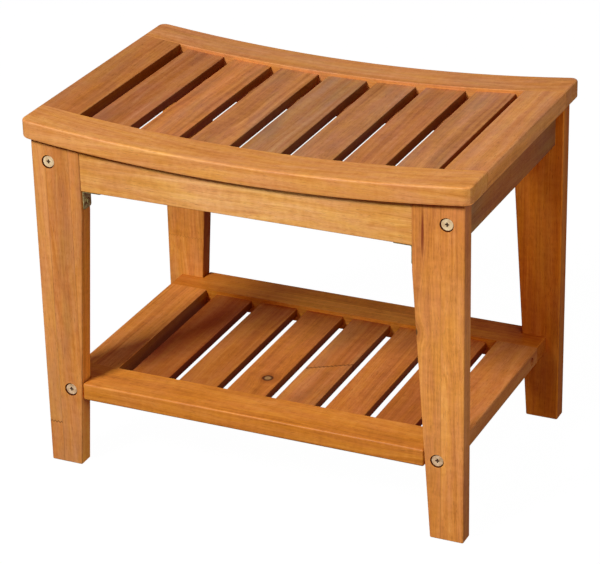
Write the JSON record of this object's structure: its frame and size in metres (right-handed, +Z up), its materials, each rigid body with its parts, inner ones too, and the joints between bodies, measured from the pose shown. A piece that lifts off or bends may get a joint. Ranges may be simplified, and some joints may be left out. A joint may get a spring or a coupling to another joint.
{
  "type": "shower stool",
  "caption": "Oiled hardwood shower stool with a dished slatted seat, four tapered legs, aprons and a slatted lower shelf, held by connector bolts with barrel nuts.",
  "frame": {"origin": "on the floor, under the middle of the stool", "axes": "+X to the right along the seat's length, +Y from the front to the back, +Z up"},
  "size_m": [0.56, 0.364, 0.4496],
  "materials": {
    "oiled_wood": "oiled, satin",
    "dowel_wood": "plain turned wood",
    "zinc_plated_steel": "yellow zinc plating, satin"
  },
  "bodies": {
    "root": {"seat_front_rail": "oiled_wood", "seat_back_rail": "oiled_wood", "seat_left_end_board": "oiled_wood", "seat_right_end_board": "oiled_wood", "seat_slat_1": "oiled_wood", "seat_slat_2": "oiled_wood", "seat_slat_3": "oiled_wood", "seat_slat_4": "oiled_wood", "seat_slat_5": "oiled_wood", "seat_slat_6": "oiled_wood", "seat_slat_7": "oiled_wood", "leg_front_left": "oiled_wood", "leg_front_right": "oiled_wood", "leg_back_left": "oiled_wood", "leg_back_right": "oiled_wood", "front_apron": "oiled_wood", "back_apron": "oiled_wood", "side_apron_left": "oiled_wood", "side_apron_right": "oiled_wood", "shelf_front_rail": "oiled_wood", "shelf_back_rail": "oiled_wood", "shelf_left_end_board": "oiled_wood", "shelf_right_end_board": "oiled_wood", "shelf_slat_1": "oiled_wood", "shelf_slat_2": "oiled_wood", "shelf_slat_3": "oiled_wood", "shelf_slat_4": "oiled_wood", "shelf_slat_5": "oiled_wood", "shelf_slat_6": "oiled_wood", "seat_frame_dowels": "dowel_wood", "apron_dowels": "dowel_wood", "seat_dowels": "dowel_wood", "shelf_frame_dowels": "dowel_wood", "upper_connector_bolts": "zinc_plated_steel", "upper_barrel_nuts": "zinc_plated_steel", "lower_connector_bolts": "zinc_plated_steel", "lower_barrel_nuts": "zinc_plated_steel", "corner_bracket_front_left": "zinc_plated_steel", "corner_bracket_front_right": "zinc_plated_steel", "corner_bracket_back_left": "zinc_plated_steel", "corner_bracket_back_right": "zinc_plated_steel", "bracket_screws": "zinc_plated_steel"}
  },
  "joints": []
}
